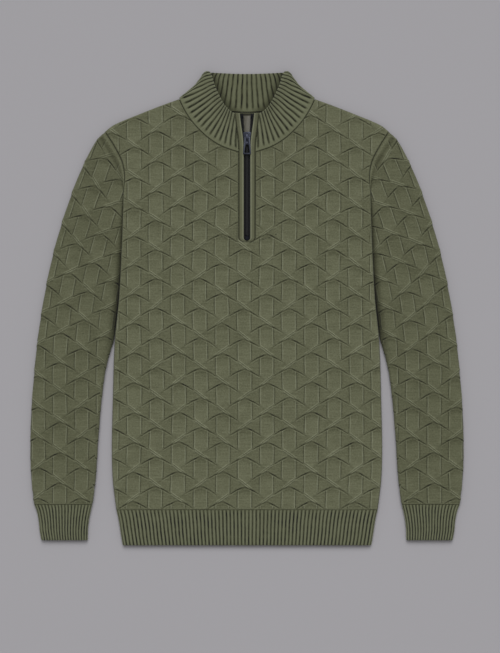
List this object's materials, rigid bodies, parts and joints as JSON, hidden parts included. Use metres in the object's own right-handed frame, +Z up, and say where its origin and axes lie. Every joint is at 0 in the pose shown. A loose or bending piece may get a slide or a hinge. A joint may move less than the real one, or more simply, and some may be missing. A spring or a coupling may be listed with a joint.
{
  "type": "quarter zip sweater",
  "caption": "Long-sleeved relief-knit sweater laid flat, with a ribbed stand collar, a short front zip, ribbed cuffs and a ribbed hem.",
  "frame": {"origin": "middle of the garment's length and width, on the surface that it lies on", "axes": "+Y towards the neck, +Z up from the surface out of the front, +X towards the wearer's left sleeve"},
  "size_m": [0.6708, 0.733, 0.016],
  "materials": {
    "relief_knit": "matte olive cotton knit with a woven-look relief",
    "rib_knit": "matte olive cotton rib",
    "zip_tape": "black woven tape",
    "zip_coil": "black nylon",
    "zip_metal": "satin dark gunmetal",
    "label_cloth": "plain taupe woven cloth"
  },
  "bodies": {
    "garment": {"front_panel": "relief_knit", "back_panel": "relief_knit", "sleeve_left": "relief_knit", "sleeve_right": "relief_knit", "cuff_left": "rib_knit", "cuff_right": "rib_knit", "hem_rib": "rib_knit", "collar": "rib_knit", "placket_left": "rib_knit", "placket_right": "rib_knit", "zip_tape_left": "zip_tape", "zip_tape_right": "zip_tape", "zip_coil": "zip_coil", "zip_coil_left": "zip_coil", "zip_coil_right": "zip_coil", "zip_slider": "zip_metal", "zip_bottom_stop": "zip_metal", "zip_top_stop_left": "zip_metal", "zip_top_stop_right": "zip_metal", "neck_label": "label_cloth"},
    "pull": {"pull_tab": "zip_metal"}
  },
  "joints": [
    {"name": "pull_swing", "type": "hinge", "parent": "garment", "child": "pull", "pos_m": [0, 0.2642, 0.00915], "axis": [-1, 0, 0], "range_deg": [0, 150]}
  ]
}
